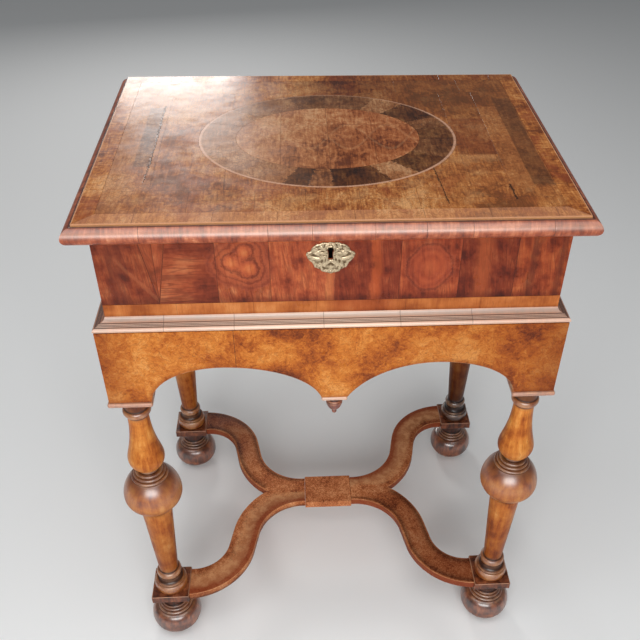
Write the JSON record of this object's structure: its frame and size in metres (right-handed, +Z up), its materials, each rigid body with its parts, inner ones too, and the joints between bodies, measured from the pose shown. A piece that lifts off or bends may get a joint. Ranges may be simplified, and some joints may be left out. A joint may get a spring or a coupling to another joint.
{
  "type": "box on stand",
  "caption": "Walnut lace box with a hinged, locking lid and inlaid oval top, on a stand with an arched apron, turned legs, a serpentine cross-stretcher and bun feet.",
  "frame": {"origin": "on the floor under the middle of the stand", "axes": "+X to the right as seen from the front, +Y to the back, +Z up"},
  "size_m": [0.5874, 0.444, 0.76],
  "materials": {
    "turned_walnut": "polished, orange-brown",
    "dark_walnut": "polished, darkened",
    "stretcher_burr": "waxed burr veneer",
    "cross_grain_walnut": "polished cross-grain walnut",
    "golden_burr_walnut": "polished burr veneer",
    "pine_carcase": "bare, aged",
    "red_walnut_veneer": "polished veneer",
    "lid_walnut_veneer": "polished veneer",
    "oyster_segments": "polished segmented veneer",
    "cast_brass": "cast and lacquer-worn",
    "wrought_iron": "forged, oiled"
  },
  "bodies": {
    "stand": {"cap_back_left": "cross_grain_walnut", "cap_back_right": "cross_grain_walnut", "cap_front_left": "cross_grain_walnut", "cap_front_right": "cross_grain_walnut", "corner_post_back_left": "pine_carcase", "corner_post_back_right": "pine_carcase", "corner_post_front_left": "pine_carcase", "corner_post_front_right": "pine_carcase", "foot_back_left": "dark_walnut", "foot_back_right": "dark_walnut", "foot_front_left": "dark_walnut", "foot_front_right": "dark_walnut", "frieze_back": "pine_carcase", "frieze_front": "golden_burr_walnut", "frieze_left": "golden_burr_walnut", "frieze_right": "golden_burr_walnut", "leg_back_left": "turned_walnut", "leg_back_right": "turned_walnut", "leg_front_left": "turned_walnut", "leg_front_right": "turned_walnut", "pad_back_left": "dark_walnut", "pad_back_right": "dark_walnut", "pad_front_left": "dark_walnut", "pad_front_right": "dark_walnut", "pendant": "cross_grain_walnut", "stand_moulding_front": "cross_grain_walnut", "stand_moulding_left": "cross_grain_walnut", "stand_moulding_right": "cross_grain_walnut", "stretcher_arm_back_left": "stretcher_burr", "stretcher_arm_back_right": "stretcher_burr", "stretcher_arm_front_left": "stretcher_burr", "stretcher_arm_front_right": "stretcher_burr", "stretcher_block": "stretcher_burr", "top_rail_back": "golden_burr_walnut", "top_rail_front": "golden_burr_walnut", "top_rail_left": "golden_burr_walnut", "top_rail_right": "golden_burr_walnut"},
    "box": {"box_front": "red_walnut_veneer", "box_back": "pine_carcase", "box_left": "red_walnut_veneer", "box_right": "red_walnut_veneer", "box_bottom": "pine_carcase", "escutcheon": "cast_brass", "lock_case": "wrought_iron", "hinge_box_leaf_left": "cast_brass", "hinge_box_leaf_right": "cast_brass", "hinge_pin_left": "wrought_iron", "hinge_pin_right": "wrought_iron"},
    "lid": {"lid_board": "pine_carcase", "lid_moulding_front": "cross_grain_walnut", "lid_moulding_left": "cross_grain_walnut", "lid_moulding_right": "cross_grain_walnut", "lid_crossband": "cross_grain_walnut", "lid_field": "lid_walnut_veneer", "lid_oval_band": "oyster_segments", "lid_oval_centre": "lid_walnut_veneer", "lid_staple": "wrought_iron", "hinge_lid_leaf_left": "cast_brass", "hinge_lid_leaf_right": "cast_brass"},
    "bolt": {"lock_bolt": "wrought_iron"}
  },
  "joints": [
    {"name": "box_lift", "type": "slide", "parent": "stand", "child": "box", "axis": [0, 0, 1], "range_m": [0, 0.15]},
    {"name": "lid_hinge", "type": "hinge", "parent": "box", "child": "lid", "pos_m": [0, 0.21055, 0.73685], "axis": [-1, 0, 0], "range_deg": [0, 100]},
    {"name": "bolt_slide", "type": "slide", "parent": "box", "child": "bolt", "axis": [1, 0, 0], "range_m": [0, 0.008]}
  ]
}
